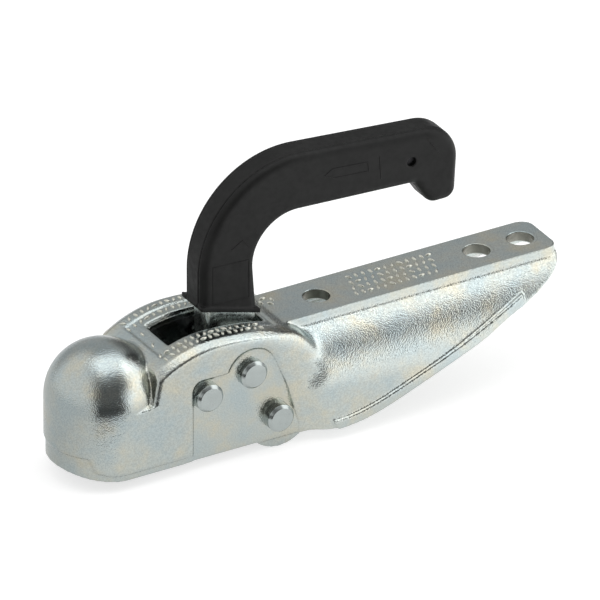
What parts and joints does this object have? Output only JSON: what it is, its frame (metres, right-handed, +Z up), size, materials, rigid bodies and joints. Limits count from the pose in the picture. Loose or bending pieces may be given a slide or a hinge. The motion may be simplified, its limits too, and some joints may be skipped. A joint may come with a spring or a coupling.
{
  "type": "trailer coupling head",
  "caption": "Zinc-plated forged trailer coupling head: domed ball socket, slotted deck with a pull handle in a black grip, cross rivets and a bell-shaped bolt-on tail.",
  "frame": {"origin": "centre of the ball socket", "axes": "+X back along the drawbar, +Z up; +Y across, the far side in the picture"},
  "size_m": [0.3365, 0.085, 0.1782],
  "materials": {
    "housing_zinc": "bright zinc",
    "rivet_zinc": "bright zinc",
    "washer_zinc": "bright zinc",
    "lever_steel": "plated",
    "jaw_steel": "forged",
    "pin_steel": "dark oxide",
    "spring_steel": "drawn wire",
    "bush_bronze": "turned",
    "grip_plastic": "satin moulded"
  },
  "bodies": {
    "housing": {"housing": "housing_zinc", "jaw_rivet": "rivet_zinc", "lever_rivet": "rivet_zinc", "pawl_rivet": "rivet_zinc", "jaw_washer_left": "washer_zinc", "jaw_washer_right": "washer_zinc", "pawl_washer_left": "washer_zinc", "pawl_washer_right": "washer_zinc", "lever_spring_left": "spring_steel", "lever_spring_right": "spring_steel", "pawl_spring": "spring_steel"},
    "handle": {"lever": "lever_steel", "lever_bush": "bush_bronze", "grip": "grip_plastic", "grip_pin": "pin_steel"},
    "jaw": {"ball_jaw": "jaw_steel", "jaw_bush": "bush_bronze"},
    "pawl": {"pawl": "jaw_steel", "pawl_bush": "bush_bronze"}
  },
  "joints": [
    {"name": "handle_lift", "type": "hinge", "parent": "housing", "child": "handle", "pos_m": [0.083, 0, 0.0065], "axis": [0, -1, 0], "range_deg": [0, 32], "stiffness_Nm_per_rad": 1.2, "springref_deg": -14.32, "deforming": ["lever_spring_left", "lever_spring_right"]},
    {"name": "jaw_swing", "type": "hinge", "parent": "housing", "child": "jaw", "pos_m": [0.053, 0, -0.001], "axis": [0, -1, 0], "range_deg": [0, 32]},
    {"name": "pawl_swing", "type": "hinge", "parent": "housing", "child": "pawl", "pos_m": [0.1, 0, -0.0265], "axis": [0, -1, 0], "range_deg": [0, 19.2], "deforming": ["pawl_spring"]}
  ],
  "couplings": [
    {"joint": "jaw_swing", "follows": "handle_lift", "ratio": 1},
    {"joint": "pawl_swing", "follows": "handle_lift", "ratio": 0.6}
  ]
}
